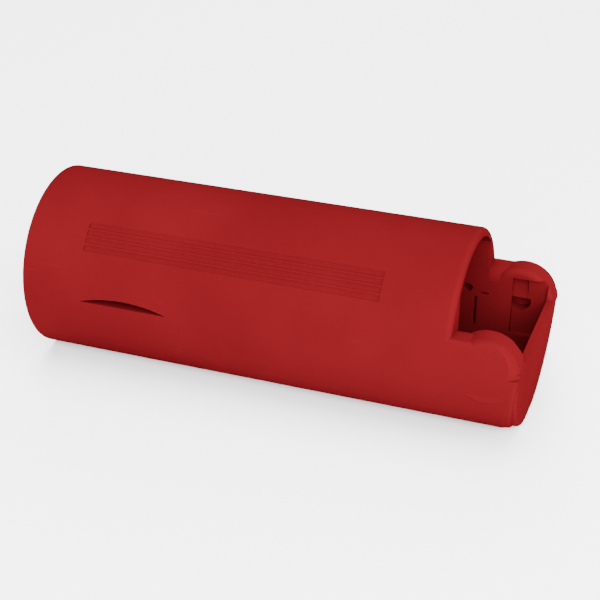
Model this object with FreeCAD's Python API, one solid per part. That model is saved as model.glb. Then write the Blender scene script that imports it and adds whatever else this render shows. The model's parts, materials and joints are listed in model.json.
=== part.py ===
import FreeCAD, Part
import math
import os

# Pocket ski-edge tuning tool, in millimetres.
# X runs along the tube (rear cap at -X, open end bay at +X), +Z is up.
# The origin is the middle of the box's base, on the running sole.

V = FreeCAD.Vector
X_DIR = V(1, 0, 0)
Y_DIR = V(0, 1, 0)
Z_DIR = V(0, 0, 1)

# ---- driving dimensions ----
LENGTH = 108.0
TUBE_R = 20.0
WALL = 3.0
AXIS_Z = 18.1                # height of the tube's axis over the flat sole
REAR_X = -LENGTH / 2
FRONT_X = LENGTH / 2
INNER_R = TUBE_R - WALL

# open end bay
BULKHEAD_BACK_X = 32.4
BULKHEAD_FRONT_X = 34.6
ROOF_END_X = 40.1
ROOF_INNER_R = 18.2
CHEEK_Y = 12.9
BAY_FLOOR_Z = 4.2
LEDGE_Z = AXIS_Z + 6.3
EAR_X = 47.0
EAR_R = 7.05
EAR_PAD_R = 6.6
EAR_PAD_X = 47.6
EAR_PAD_Z = AXIS_Z + 0.5
EAR_PAD_Y = 19.45
EAR_EDGE_R = 2.4
EAR_INNER_R = 1.3            # rounding of the ears' edges towards the bay
LEDGE_INNER_R = 2.8          # rounding of the ledges' edges towards the bay
ROOF_EDGE_R = 1.2
LEDGE_EDGE_R = 0.8
TUBE_RIM_R = 1.0
END_WALL_RIM_R = 0.8
TUBE_END_X = 51.7
TUBE_END_LEAN = 0.13         # run of the leaning end per unit of height
END_WALL_X = 53.3
END_WALL_LEAN = 0.7 / AXIS_Z
END_WALL_R = 19.2
END_WALL_T = 1.3
END_WALL_TOP_Z = AXIS_Z + 1.0

# snap-in sockets inside the ears
RELIEF_X = 45.3
RELIEF_Y = 14.1
RELIEF_Z = AXIS_Z - 8.2
RELIEF_TOP_Z = AXIS_Z + 5.2
SOCKET_X = 46.8
SOCKET_R = 2.5
SOCKET_Z = AXIS_Z - 0.4
SOCKET_END_Y = 17.0
RAMP_W = 3.6
RAMP_DEEP = 1.9
RAMP_LOW_Z = AXIS_Z + 0.2
RAMP_TOP_Z = AXIS_Z + 6.0

# small moulded marks on the cheeks
PIN_HOLE_X = 35.8
PIN_HOLE_R = 0.95
SLIT_X = 37.6

# grip grooves and chip slots on both flanks
GROOVE_X0 = -40.4
GROOVE_X1 = 24.8
GROOVE_COUNT = 4
GROOVE_TOP_DEG = 48.6
GROOVE_STEP_DEG = 4.8
GROOVE_R = 0.9
GROOVE_LIFT = 0.58            # height of a groove's centre line over the tube's surface
SLOT_X = -30.4
SLOT_HALF = 10.1
SLOT_RISE = 1.6
SLOT_LOW_Z = AXIS_Z + 0.15

# running sole
SOLE_T = 2.4
SOLE_HALF_W = 7.95
SOLE_SLOT_HALF_W = 8.0
SOLE_X0 = -53.0
SOLE_X1 = 50.0
TONGUE_HALF_W = 5.0
CAP_R = 18.6
CAP_T = 2.0
WINDOW_X0 = -39.4
WINDOW_X1 = 23.4
WINDOW_HALF_W = 5.5

# file, cradle and its pivot
FILE_X0 = -38.9
FILE_X1 = 22.9
FILE_HALF_W = 5.0
FILE_Z0 = 0.1
FILE_T = 3.5
CRADLE_X0 = -39.0
CRADLE_X1 = 23.0
CRADLE_HALF_W = 6.2
CRADLE_TOP_Z = 8.0
CRADLE_LIP_Z = 2.85
PIVOT_Z = 5.2
PIVOT_PIN_R = 1.25
PIN_CLEAR = 0.03
MAGNET_R = 3.0
MAGNET_T = 1.2
MAGNET_STEP = 20.0
TILT_MAX_DEG = 3.0
BLOCK_L = 3.8
BLOCK_GAP = 0.4
BLOCK_Y0 = -7.0
BLOCK_Y1 = 2.2
BLOCK_TOP_Z = 7.6
SPRING_Y = -8.2
SPRING_R = 1.8
SPRING_WIRE = 0.45
SPRING_SEAT_Z = 4.6
SEAT_GAP = 0.4
WING_Z0 = 7.2
WING_X = (15.0, -31.0)
WING_HALF_L = 3.0

# angle spindle, cams and dial
SPINDLE_Y = -4.5
SPINDLE_R = 2.0
CAM_R = 3.0
CAM_GAP = 0.06
CAM_THROW = abs(SPINDLE_Y) * math.tan(math.radians(TILT_MAX_DEG)) / 2
SPINDLE_Z = CRADLE_TOP_Z + CAM_GAP + CAM_R - CAM_THROW
SPINDLE_X0 = -39.6
SPINDLE_X1 = 40.0
CAM_L = 6.0
HANGER_X0 = -38.0
HANGER_X1 = -35.5
HANGER_Z0 = 8.8
BUSH_R = 3.5
BUSH_CLEAR = 0.04
BUSH_FLANGE_R = 4.2
BUSH_FLANGE_T = 0.35
DIAL_X0 = 35.0
DIAL_L = 6.0
DIAL_R = 6.2
DIAL_FLUTES = 20
FLUTE_R = 0.62
TRACK_R = 4.6
BALL_R = 1.2
BALL_X = 34.35
BALL_CLEAR = 0.06

# sliding guide fence with its rollers
LEG_L = 6.4
FRONT_LEG_X = 28.6
REAR_LEG_X = -45.2
LEG_Y0 = 3.6
LEG_Y1 = 9.4
LEG_Z0 = 0.35
BRIDGE_Y0 = 7.4
BRIDGE_Y1 = 9.8
BRIDGE_Z0 = 10.5
BRIDGE_Z1 = 14.5
ROLLER_R = 2.3
ROLLER_Y = 5.7
ROLLER_Z0 = 1.6
ROLLER_Z1 = 5.3
AXLE_R = 1.0
FENCE_TRAVEL = 6.0
BUTTON_X = -9.0
BUTTON_Z = 18.5
BUTTON_HALF_L = 6.5
BUTTON_HALF_H = 3.4
BUTTON_Y0 = 16.8
BUTTON_Y1 = 19.4
STEM_HALF = 1.9
POCKET_Y = 16.6
POCKET_HALF_L = 8.2

# fasteners
CAP_SCREW_Y = 12.0
CAP_SCREW_Z = AXIS_Z + 8.6
SCREW_R = 1.0
HEAD_R = 1.95
HEAD_T = 1.1
SCREW_RECESS = 0.12
SOLE_SCREW_X = 45.5
SOLE_SCREW_YS = (-4.8, 4.8)
BLOCK_SCREW_Y = -4.6
AXLE_TOP_Z = 8.6
RING_X0 = -38.75
RING_T = 0.5
DETENT_SPRING_L = 4.1
DETENT_SPRING_R = 1.1
DETENT_SPRING_WIRE = 0.35
DETENT_BORE_L = 3.6
CROSS_W = 0.45
CROSS_DEEP = 0.7
CAP_SCREW_L = 9.0
SOLE_SCREW_L = 7.0
BLOCK_SCREW_L = 6.0
BUTTON_SCREW_RECESS = 0.35


def box(x0, x1, y0, y1, z0, z1):
    """A box between two corners."""
    return Part.makeBox(x1 - x0, y1 - y0, z1 - z0, V(x0, y0, z0))


def slab(x0, x1, z0, z1):
    """A block wider than the tube, between two stations and two heights."""
    return box(x0, x1, -TUBE_R - 5, TUBE_R + 5, z0, z1)


def rod_x(radius, x0, x1, y, z):
    """A cylinder along X."""
    return Part.makeCylinder(radius, x1 - x0, V(x0, y, z), X_DIR)


def rod_y(radius, y0, y1, x, z):
    """A cylinder along Y."""
    return Part.makeCylinder(radius, y1 - y0, V(x, y0, z), Y_DIR)


def rod_z(radius, z0, z1, x, y):
    """A cylinder along Z."""
    return Part.makeCylinder(radius, z1 - z0, V(x, y, z0), Z_DIR)


def prism(points, direction):
    """A closed flat outline pushed along a direction."""
    wire = Part.makePolygon(points + [points[0]])
    return Part.Face(wire).extrude(direction)


def tube_region(radius, x0, x1):
    """A round bar on the tube's own axis."""
    return rod_x(radius, x0, x1, 0, AXIS_Z)


def behind_lean(x_at_sole, lean):
    """Everything behind a plane that leans forward as it rises."""
    low = -5.0
    high = 45.0
    back = REAR_X - 10
    side = 30.0
    outline = [
        V(back, -side, low),
        V(x_at_sole + lean * low, -side, low),
        V(x_at_sole + lean * high, -side, high),
        V(back, -side, high),
    ]
    return prism(outline, V(0, 2 * side, 0))


def rounded_disc(radius, edge_r, flare, back):
    """A round end cap about +Z: a disc at 0 with a rounded edge, flaring towards +Z."""
    arc_mid = edge_r * (1 - math.sqrt(0.5))
    corner = Part.Arc(V(radius - edge_r, 0, 0), V(radius - arc_mid, 0, arc_mid), V(radius, 0, edge_r))
    edges = [
        Part.makeLine(V(0, 0, 0), V(radius - edge_r, 0, 0)),
        corner.toShape(),
        Part.makeLine(V(radius, 0, edge_r), V(radius + flare, 0, back)),
        Part.makeLine(V(radius + flare, 0, back), V(0, 0, back)),
        Part.makeLine(V(0, 0, back), V(0, 0, 0)),
    ]
    return Part.Face(Part.Wire(edges)).revolve(V(0, 0, 0), Z_DIR, 360)


def leaning_end(x_at_sole, lean, radius, edge_r):
    """The space behind a leaning end face whose rim is rounded."""
    angle = math.degrees(math.atan(lean))
    end = rounded_disc(radius, edge_r, 40.0, 125.0)
    end.rotate(V(0, 0, 0), Y_DIR, -90 + angle)
    end.translate(V(x_at_sole + lean * AXIS_Z, 0, AXIS_Z))
    return end


def ear_envelope(side):
    """A round puck about the snap-in axis, with a rounded outer rim."""
    puck = rounded_disc(EAR_R, EAR_EDGE_R, 0.0, TUBE_R - CHEEK_Y)
    puck.rotate(V(0, 0, 0), X_DIR, 90 * side)
    puck.translate(V(EAR_X, side * TUBE_R, AXIS_Z))
    inner = rounded_disc(EAR_R, EAR_INNER_R, 0.0, TUBE_R - CHEEK_Y)
    inner.rotate(V(0, 0, 0), X_DIR, -90 * side)
    inner.translate(V(EAR_X, side * CHEEK_Y, AXIS_Z))
    return puck.common(inner)


def ledge_corner(side):
    """The sliver that rounds a ledge's edge towards the bay."""
    low_z = LEDGE_Z - LEDGE_INNER_R
    mid_y = CHEEK_Y + LEDGE_INNER_R
    sliver = box(ROOF_END_X - 3, EAR_X + 1, CHEEK_Y - 0.5, mid_y, low_z, LEDGE_Z + 0.5)
    sliver = sliver.cut(rod_x(LEDGE_INNER_R, ROOF_END_X - 4, EAR_X + 2, mid_y, low_z))
    if side < 0:
        sliver = sliver.mirror(V(0, 0, 0), Y_DIR)
    return sliver


def outer_form():
    """The tube, with its roof cut back to leave a ledge and a round ear on each flank."""
    tube = tube_region(TUBE_R, REAR_X, FRONT_X + 3)
    tube = tube.common(leaning_end(TUBE_END_X, TUBE_END_LEAN, TUBE_R, TUBE_RIM_R))
    roofed = tube.common(slab(REAR_X, ROOF_END_X, -5, 45))
    roof_rim = [e for e in roofed.Edges if abs(e.BoundBox.XMin - ROOF_END_X) < 0.01 and e.Length > 30]
    roofed = roofed.makeFillet(ROOF_EDGE_R, roof_rim)
    open_end = tube.common(slab(ROOF_END_X - ROOF_EDGE_R, FRONT_X + 5, -5, 45))
    ledge = open_end.common(slab(ROOF_END_X - 2, EAR_X, -5, LEDGE_Z))
    rim = [e for e in ledge.Edges if abs(e.BoundBox.ZMin - LEDGE_Z) < 0.01 and abs(e.CenterOfMass.y) > 15]
    ledge = ledge.makeFillet(LEDGE_EDGE_R, rim).cut([ledge_corner(side) for side in (-1, 1)])
    low = open_end.common(slab(EAR_X - 1, FRONT_X + 5, -5, AXIS_Z))
    ears = [open_end.common(ear_envelope(side)) for side in (-1, 1)]
    pads = [rod_y(EAR_PAD_R, -EAR_PAD_Y, EAR_PAD_Y, EAR_PAD_X, EAR_PAD_Z).common(
        slab(EAR_PAD_X - EAR_PAD_R, FRONT_X, 0, AXIS_Z))]
    end_wall = tube_region(END_WALL_R, ROOF_END_X, FRONT_X + 3)
    end_wall = end_wall.common(leaning_end(END_WALL_X, END_WALL_LEAN, END_WALL_R, END_WALL_RIM_R))
    end_wall = end_wall.common(slab(ROOF_END_X, FRONT_X + 3, -5, END_WALL_TOP_Z))
    form = roofed.fuse([ledge, low, end_wall] + ears + pads)
    return form.common(slab(REAR_X, FRONT_X, 0, 45)).removeSplitter()


def bay_space():
    """The open end bay between the cheeks, its ear reliefs and the room over its floor."""
    behind = behind_lean(END_WALL_X - END_WALL_T, END_WALL_LEAN)
    slot = box(BULKHEAD_FRONT_X, FRONT_X, -CHEEK_Y, CHEEK_Y, BAY_FLOOR_Z, 45)
    slot = slot.common(tube_region(ROOF_INNER_R, REAR_X, FRONT_X + 3).fuse(
        box(ROOF_END_X, FRONT_X, -CHEEK_Y, CHEEK_Y, AXIS_Z, 45)))
    relief = box(RELIEF_X, FRONT_X, -RELIEF_Y, RELIEF_Y, RELIEF_Z, RELIEF_TOP_Z)
    return slot.fuse(relief).common(behind)


def snap_socket(side):
    """A half-round blind socket in an ear, under a ramp that leads down to it."""
    mouth_y = RELIEF_Y - 0.5
    hole = rod_y(SOCKET_R, mouth_y, SOCKET_END_Y, SOCKET_X, SOCKET_Z).common(
        slab(REAR_X, FRONT_X, 0, RAMP_LOW_Z))
    half = RAMP_W / 2
    outline = [
        V(SOCKET_X - half, mouth_y, RAMP_TOP_Z),
        V(SOCKET_X - half, RELIEF_Y + RAMP_DEEP, RAMP_TOP_Z),
        V(SOCKET_X - half, RELIEF_Y + 0.1, RAMP_LOW_Z),
        V(SOCKET_X - half, mouth_y, RAMP_LOW_Z),
    ]
    arch = rod_y(half, mouth_y, SOCKET_END_Y, SOCKET_X, RAMP_TOP_Z - half).fuse(
        slab(SOCKET_X - half, SOCKET_X + half, 0, RAMP_TOP_Z - half))
    ramp = prism(outline, V(RAMP_W, 0, 0)).common(arch)
    socket = hole.fuse(ramp)
    if side < 0:
        socket = socket.mirror(V(0, 0, 0), Y_DIR)
    return socket


def cheek_details(side):
    """Small moulded marks on a cheek's inner face: a pin hole, a slit and a notch."""
    wall = CHEEK_Y - 0.5
    marks = [
        rod_y(PIN_HOLE_R, wall, CHEEK_Y + 2.2, PIN_HOLE_X, AXIS_Z + 1.3),
        box(SLIT_X - 0.3, SLIT_X + 0.3, wall, CHEEK_Y + 1.4, AXIS_Z - 7.5, AXIS_Z - 0.6),
        box(SLIT_X + 1.1, SLIT_X + 2.7, wall, CHEEK_Y + 0.7, AXIS_Z + 0.2, AXIS_Z + 0.7),
    ]
    cut = marks[0].fuse(marks[1:])
    if side < 0:
        cut = cut.mirror(V(0, 0, 0), Y_DIR)
    return cut


def groove(angle_deg, side):
    """One round-bottomed grip groove along a flank."""
    angle = math.radians(angle_deg)
    reach = TUBE_R + GROOVE_LIFT
    return rod_x(GROOVE_R, GROOVE_X0, GROOVE_X1, side * reach * math.cos(angle),
                 AXIS_Z + reach * math.sin(angle))


def chip_slot(side):
    """A crescent slot through a flank: an arc over a straight lower edge."""
    arc_r = (SLOT_HALF ** 2 + SLOT_RISE ** 2) / (2 * SLOT_RISE)
    slot = rod_y(arc_r, INNER_R - 1, TUBE_R + 1, SLOT_X, SLOT_LOW_Z + SLOT_RISE - arc_r)
    slot = slot.common(box(SLOT_X - 30, SLOT_X + 30, 0, 25, SLOT_LOW_Z, 30))
    if side < 0:
        slot = slot.mirror(V(0, 0, 0), Y_DIR)
    return slot


def leg_passage(leg_x):
    """The opening that a fence leg slides through, in the tube's lower flank."""
    half = LEG_L / 2 + 0.3
    return box(leg_x - half, leg_x + half, 3.0, LEG_Y1 + 0.4, -1, 8)


def screw_column(x, y):
    """A boss on the bay's floor for a sole screw."""
    return rod_z(2.6, SOLE_T, 8.0, x, y)


def housing_shell():
    """The red moulding: tube, bulkhead, bay, ears, ribs and bosses."""
    form = outer_form()
    cavity = tube_region(INNER_R, REAR_X - 1, BULKHEAD_BACK_X)
    shell = form.cut([cavity, bay_space()])
    inside = tube_region(INNER_R + 0.5, REAR_X + 2, BULKHEAD_BACK_X + 0.1)
    hanger = box(HANGER_X0, HANGER_X1, -18, 6.5, HANGER_Z0, 40).common(inside)
    pad_x0 = BUTTON_X - POCKET_HALF_L - 2
    pad_x1 = BUTTON_X + POCKET_HALF_L + 2
    pad = box(pad_x0, pad_x1, 13.6, 18, 8, 25).common(tube_region(TUBE_R - 1, REAR_X, FRONT_X))
    bosses = [rod_x(3.0, REAR_X + 2.1, REAR_X + 11, side * CAP_SCREW_Y, CAP_SCREW_Z).common(inside)
              for side in (-1, 1)]
    seat_room = tube_region(TUBE_R - 1, REAR_X, FRONT_X).common(
        box(REAR_X, FRONT_X, -25, -CRADLE_HALF_W - SEAT_GAP, -5, 45))
    seats = [rod_z(2.6, 1.5, SPRING_SEAT_Z, x, SPRING_Y).common(seat_room) for x in WING_X]
    detent_boss = rod_x(2.4, BULKHEAD_BACK_X - 4.6, BULKHEAD_BACK_X + 0.1,
                        SPINDLE_Y, SPINDLE_Z + TRACK_R)
    columns = [screw_column(SOLE_SCREW_X, y) for y in SOLE_SCREW_YS]
    shell = shell.fuse([hanger, pad, detent_boss] + bosses + seats + columns)
    cuts = [
        box(REAR_X - 1, SOLE_X1 + 0.1, -SOLE_SLOT_HALF_W, SOLE_SLOT_HALF_W, -1, SOLE_T),
        box(REAR_X - 1, BULKHEAD_BACK_X, -SOLE_SLOT_HALF_W, SOLE_SLOT_HALF_W, -1, 4),
        tube_region(CAP_R + 0.05, REAR_X - 1, REAR_X + CAP_T),
        leg_passage(FRONT_LEG_X),
        leg_passage(REAR_LEG_X),
        rod_x(BUSH_R, HANGER_X0 - 1, BULKHEAD_FRONT_X + 1, SPINDLE_Y, SPINDLE_Z),
        rod_x(BALL_R + 0.05, BULKHEAD_BACK_X - DETENT_BORE_L, BULKHEAD_FRONT_X + 1,
              SPINDLE_Y, SPINDLE_Z + TRACK_R),
        box(BUTTON_X - POCKET_HALF_L, BUTTON_X + POCKET_HALF_L, POCKET_Y, 25, 6, 24.5),
        box(BUTTON_X - STEM_HALF - 0.2, BUTTON_X + STEM_HALF + 0.2, 12, 25,
            BUTTON_Z - STEM_HALF - FENCE_TRAVEL - 0.2, BUTTON_Z + STEM_HALF + 0.2),
    ]
    cuts += [rod_x(SCREW_R, REAR_X, REAR_X + 10, side * CAP_SCREW_Y, CAP_SCREW_Z) for side in (-1, 1)]
    cuts += [rod_z(SCREW_R, 0, 7.2, SOLE_SCREW_X, y) for y in SOLE_SCREW_YS]
    cuts += [snap_socket(side) for side in (-1, 1)]
    cuts += [cheek_details(side) for side in (-1, 1)]
    cuts += [chip_slot(side) for side in (-1, 1)]
    for side in (-1, 1):
        for k in range(GROOVE_COUNT):
            cuts.append(groove(GROOVE_TOP_DEG - k * GROOVE_STEP_DEG, side))
    return shell.cut(cuts).removeSplitter()


def countersunk_screw(length):
    """A screw with its head's face at 0, pointing along +Z, with a cross recess."""
    head = Part.makeCone(HEAD_R, SCREW_R, HEAD_T)
    shank = Part.makeCylinder(SCREW_R, length)
    arm_l = HEAD_R * 1.1
    cross = [
        box(-arm_l / 2, arm_l / 2, -CROSS_W / 2, CROSS_W / 2, -1, CROSS_DEEP),
        box(-CROSS_W / 2, CROSS_W / 2, -arm_l / 2, arm_l / 2, -1, CROSS_DEEP),
    ]
    return head.fuse(shank).cut(cross).removeSplitter()


def placed_screw(length, position, turn_axis, turn_deg):
    """A countersunk screw turned from +Z and moved to its place."""
    screw = countersunk_screw(length)
    if turn_deg:
        screw.rotate(V(0, 0, 0), turn_axis, turn_deg)
    screw.translate(position)
    return screw


def screw_clearance(position, turn_axis, turn_deg):
    """The countersunk hole for a screw's head and shank."""
    hole = Part.makeCone(HEAD_R + 0.05, SCREW_R + 0.05, HEAD_T).fuse(
        [Part.makeCylinder(SCREW_R + 0.05, 12), Part.makeCylinder(HEAD_R + 0.05, 1, V(0, 0, -1))])
    if turn_deg:
        hole.rotate(V(0, 0, 0), turn_axis, turn_deg)
    hole.translate(position)
    return hole


def rear_cap():
    """The round plug that closes the tube's rear end, slotted for the sole's tongue."""
    disc = tube_region(CAP_R, REAR_X, REAR_X + CAP_T).common(slab(-60, 0, 0, 45))
    spigot = tube_region(INNER_R - 0.1, REAR_X + CAP_T, REAR_X + CAP_T + 2.4)
    spigot = spigot.cut(tube_region(INNER_R - 1.7, REAR_X, REAR_X + 10))
    spigot = spigot.common(slab(-60, 0, 6.0, 45))
    boss_rooms = [rod_x(3.2, REAR_X + CAP_T, REAR_X + 12, side * CAP_SCREW_Y, CAP_SCREW_Z)
                  for side in (-1, 1)]
    recess = tube_region(CAP_R - 3.2, REAR_X - 1, REAR_X + 0.6).common(slab(-60, 0, 4.5, 45))
    tongue_room = box(SOLE_X0 - 0.1, 0, -TONGUE_HALF_W - 0.1, TONGUE_HALF_W + 0.1, 1.1, SOLE_T + 0.05)
    foot_room = box(REAR_X + CAP_T, 0, -20, 20, -1, SOLE_T)
    cap = disc.fuse(spigot.cut(boss_rooms)).cut([recess, tongue_room, foot_room])
    pads = [rod_x(3.2, REAR_X, REAR_X + CAP_T, side * CAP_SCREW_Y, CAP_SCREW_Z) for side in (-1, 1)]
    cap = cap.fuse(pads)
    holes = [screw_clearance(V(REAR_X, side * CAP_SCREW_Y, CAP_SCREW_Z), Y_DIR, 90) for side in (-1, 1)]
    return cap.cut(holes).removeSplitter()


def rear_cap_screws():
    """The two screws that hold the rear cap."""
    return [placed_screw(CAP_SCREW_L, V(REAR_X + 0.05, side * CAP_SCREW_Y, CAP_SCREW_Z), Y_DIR, 90)
            for side in (-1, 1)]


def sole_plate():
    """The slippery running sole with its file window and the fence's two openings."""
    plate = box(REAR_X + CAP_T, SOLE_X1, -SOLE_HALF_W, SOLE_HALF_W, 0, SOLE_T)
    tongue = box(SOLE_X0, REAR_X + CAP_T, -TONGUE_HALF_W, TONGUE_HALF_W, 1.2, SOLE_T)
    cuts = [box(WINDOW_X0, WINDOW_X1, -WINDOW_HALF_W, WINDOW_HALF_W, -1, SOLE_T + 1)]
    for leg_x in (FRONT_LEG_X, REAR_LEG_X):
        half = LEG_L / 2 + 0.25
        cuts.append(box(leg_x - half, leg_x + half, 3.05, 12, -1, SOLE_T + 1))
    for x, y in sole_screw_places() + block_screw_places():
        cuts.append(screw_clearance(V(x, y, SCREW_RECESS), Z_DIR, 0))
    return plate.fuse(tongue).cut(cuts).removeSplitter()


def sole_screw_places():
    """Where the sole is screwed to the housing."""
    return [(SOLE_SCREW_X, y) for y in SOLE_SCREW_YS]


def block_x_range(front):
    """The length that a pivot block takes along X."""
    if front:
        return CRADLE_X1 + BLOCK_GAP, CRADLE_X1 + BLOCK_GAP + BLOCK_L
    return CRADLE_X0 - BLOCK_GAP - BLOCK_L, CRADLE_X0 - BLOCK_GAP


def block_screw_places():
    """Where the sole is screwed to the two pivot blocks."""
    places = []
    for front in (True, False):
        x0, x1 = block_x_range(front)
        places.append(((x0 + x1) / 2, BLOCK_SCREW_Y))
    return places


def screws_at(places, length):
    """A set of sole screws, a hair above the running face."""
    return [placed_screw(length, V(x, y, SCREW_RECESS), Z_DIR, 0) for x, y in places]


def pivot_block(front):
    """A bearing block for one end of the cradle, standing on the sole."""
    x0, x1 = block_x_range(front)
    block = box(x0, x1, BLOCK_Y0, BLOCK_Y1, SOLE_T, BLOCK_TOP_Z)
    bore = rod_x(PIVOT_PIN_R + PIN_CLEAR, x0 - 1, x1 + 1, 0, PIVOT_Z)
    thread = rod_z(SCREW_R, 0, 6.4, (x0 + x1) / 2, BLOCK_SCREW_Y)
    return block.cut([bore, thread])


def file_cradle():
    """The rocking carrier: it holds the file, two pivot pins and the wings for its springs."""
    body = box(CRADLE_X0, CRADLE_X1, -CRADLE_HALF_W, CRADLE_HALF_W, CRADLE_LIP_Z, CRADLE_TOP_Z)
    wings = [box(x - WING_HALF_L, x + WING_HALF_L, SPRING_Y - 2.2, -CRADLE_HALF_W, WING_Z0, CRADLE_TOP_Z)
             for x in WING_X]
    file_room = box(CRADLE_X0 - 1, CRADLE_X1 + 1, -FILE_HALF_W - 0.02, FILE_HALF_W + 0.02,
                    0, FILE_Z0 + FILE_T)
    cuts = [file_room]
    cuts += [rod_z(MAGNET_R, FILE_Z0 + FILE_T - 1, FILE_Z0 + FILE_T + MAGNET_T, x, 0)
             for x in magnet_xs()]
    cuts += [rod_x(PIVOT_PIN_R, x0, x1, 0, PIVOT_Z) for x0, x1 in pin_ranges()]
    ledges = [box(x - 7, x + 7, 2.0, CRADLE_HALF_W - 1.2, CRADLE_TOP_Z - 1.6, CRADLE_TOP_Z + 1)
              for x in (-26.0, -8.0, 10.0)]
    bush_room = box(CRADLE_X0 - 1, HANGER_X1 + 0.5, SPINDLE_Y - 4.2, SPINDLE_Y + 4.2,
                    PIVOT_Z + PIVOT_PIN_R + 0.6, CRADLE_TOP_Z + 1)
    return body.fuse(wings).cut(cuts + ledges + [bush_room]).removeSplitter()


def magnet_xs():
    """Where the three magnets sit over the file."""
    middle = (FILE_X0 + FILE_X1) / 2
    return [middle + k * MAGNET_STEP for k in (-1, 0, 1)]


def pin_ranges():
    """The span of each pivot pin along X."""
    front_end = block_x_range(True)[1]
    rear_end = block_x_range(False)[0]
    return [(CRADLE_X1 - 6, front_end), (rear_end, CRADLE_X0 + 6)]


def angle_spindle():
    """The steel spindle with its two eccentric cams and a groove for the ring."""
    shaft = rod_x(SPINDLE_R, SPINDLE_X0, SPINDLE_X1, SPINDLE_Y, SPINDLE_Z)
    cams = [rod_x(CAM_R, x - CAM_L / 2, x + CAM_L / 2, SPINDLE_Y, SPINDLE_Z + CAM_THROW)
            for x in WING_X]
    ring_groove = rod_x(SPINDLE_R + 1, RING_X0, RING_X0 + RING_T, SPINDLE_Y, SPINDLE_Z).cut(
        rod_x(SPINDLE_R - 0.5, RING_X0, RING_X0 + RING_T, SPINDLE_Y, SPINDLE_Z))
    return shaft.fuse(cams).cut(ring_groove).removeSplitter()


def retaining_ring():
    """The open ring that keeps the spindle from sliding out."""
    ring = rod_x(3.6, RING_X0, RING_X0 + RING_T, SPINDLE_Y, SPINDLE_Z)
    bore = rod_x(SPINDLE_R - 0.5, RING_X0 - 1, RING_X0 + 1, SPINDLE_Y, SPINDLE_Z)
    gap = box(RING_X0 - 1, RING_X0 + 1, SPINDLE_Y - 1.0, SPINDLE_Y + 1.0, SPINDLE_Z - 5, SPINDLE_Z)
    return ring.cut([bore, gap])


def angle_dial():
    """The fluted thumbwheel with the ball track on its back."""
    wheel = rod_x(DIAL_R, DIAL_X0, DIAL_X0 + DIAL_L, SPINDLE_Y, SPINDLE_Z)
    cuts = [rod_x(SPINDLE_R, DIAL_X0 - 1, SPINDLE_X1, SPINDLE_Y, SPINDLE_Z)]
    for k in range(DIAL_FLUTES):
        angle = 2 * math.pi * (k + 0.5) / DIAL_FLUTES
        y = SPINDLE_Y + (DIAL_R + 0.15) * math.cos(angle)
        z = SPINDLE_Z + (DIAL_R + 0.15) * math.sin(angle)
        cuts.append(rod_x(FLUTE_R, DIAL_X0 - 1, DIAL_X0 + DIAL_L + 1, y, z))
    track = Part.makeTorus(TRACK_R, BALL_R + BALL_CLEAR, V(0, 0, 0), X_DIR)
    track = track.common(box(-3, 3, -1.5, 8, -8, 8))
    track.translate(V(BALL_X, SPINDLE_Y, SPINDLE_Z))
    cuts.append(track)
    cuts.append(set_screw_form(SCREW_R))
    finger_dish = Part.makeSphere(14.0, V(DIAL_X0 + DIAL_L + 13.4, SPINDLE_Y, SPINDLE_Z))
    cuts.append(finger_dish)
    return wheel.cut(cuts).removeSplitter()


def set_screw_form(radius):
    """The bar that the dial's set screw fills, pointing down from the rim."""
    length = DIAL_R - SPINDLE_R - 1.0
    return rod_z(radius, SPINDLE_Z - SPINDLE_R - length, SPINDLE_Z - SPINDLE_R,
                 DIAL_X0 + 3.4, SPINDLE_Y)


def dial_set_screw():
    """The socket set screw that locks the dial on its spindle."""
    screw = set_screw_form(SCREW_R)
    low = screw.BoundBox.ZMin
    return screw.cut(rod_z(0.5, low - 1, low + 1.2, DIAL_X0 + 3.4, SPINDLE_Y))


def spindle_bush(x0, x1, flange_out):
    """A plain bearing for the spindle, with a thrust flange at its front when asked."""
    bush = rod_x(BUSH_R, x0, x1, SPINDLE_Y, SPINDLE_Z)
    if flange_out:
        bush = bush.fuse(rod_x(BUSH_FLANGE_R, x1, x1 + BUSH_FLANGE_T, SPINDLE_Y, SPINDLE_Z).cut(
            rod_x(BALL_R + 0.3, x1 - 1, x1 + 2, SPINDLE_Y, SPINDLE_Z + TRACK_R)))
    ball_room = rod_x(BALL_R + 0.1, x0 - 1, x1 + 2, SPINDLE_Y, SPINDLE_Z + TRACK_R)
    bore = rod_x(SPINDLE_R + BUSH_CLEAR, x0 - 1, x1 + 2, SPINDLE_Y, SPINDLE_Z)
    return bush.cut([bore, ball_room])


def detent_ball():
    """The ball that clicks along the dial's track."""
    return Part.makeSphere(BALL_R, V(BALL_X, SPINDLE_Y, SPINDLE_Z + TRACK_R))


def coil_sleeve(radius, wire, height):
    """The hollow round space that a coil spring fills, standing on 0."""
    return Part.makeCylinder(radius, height).cut(Part.makeCylinder(radius - wire, height))


def detent_spring():
    """The spring behind the ball."""
    sleeve = coil_sleeve(DETENT_SPRING_R, DETENT_SPRING_WIRE, DETENT_SPRING_L)
    sleeve.rotate(V(0, 0, 0), Y_DIR, 90)
    sleeve.translate(V(BULKHEAD_BACK_X - DETENT_BORE_L, SPINDLE_Y, SPINDLE_Z + TRACK_R))
    return sleeve


def cradle_spring(x):
    """A spring that lifts one wing of the cradle against its cam."""
    sleeve = coil_sleeve(SPRING_R, SPRING_WIRE, WING_Z0 - SPRING_SEAT_Z)
    sleeve.translate(V(x, SPRING_Y, SPRING_SEAT_Z))
    return sleeve


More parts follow.
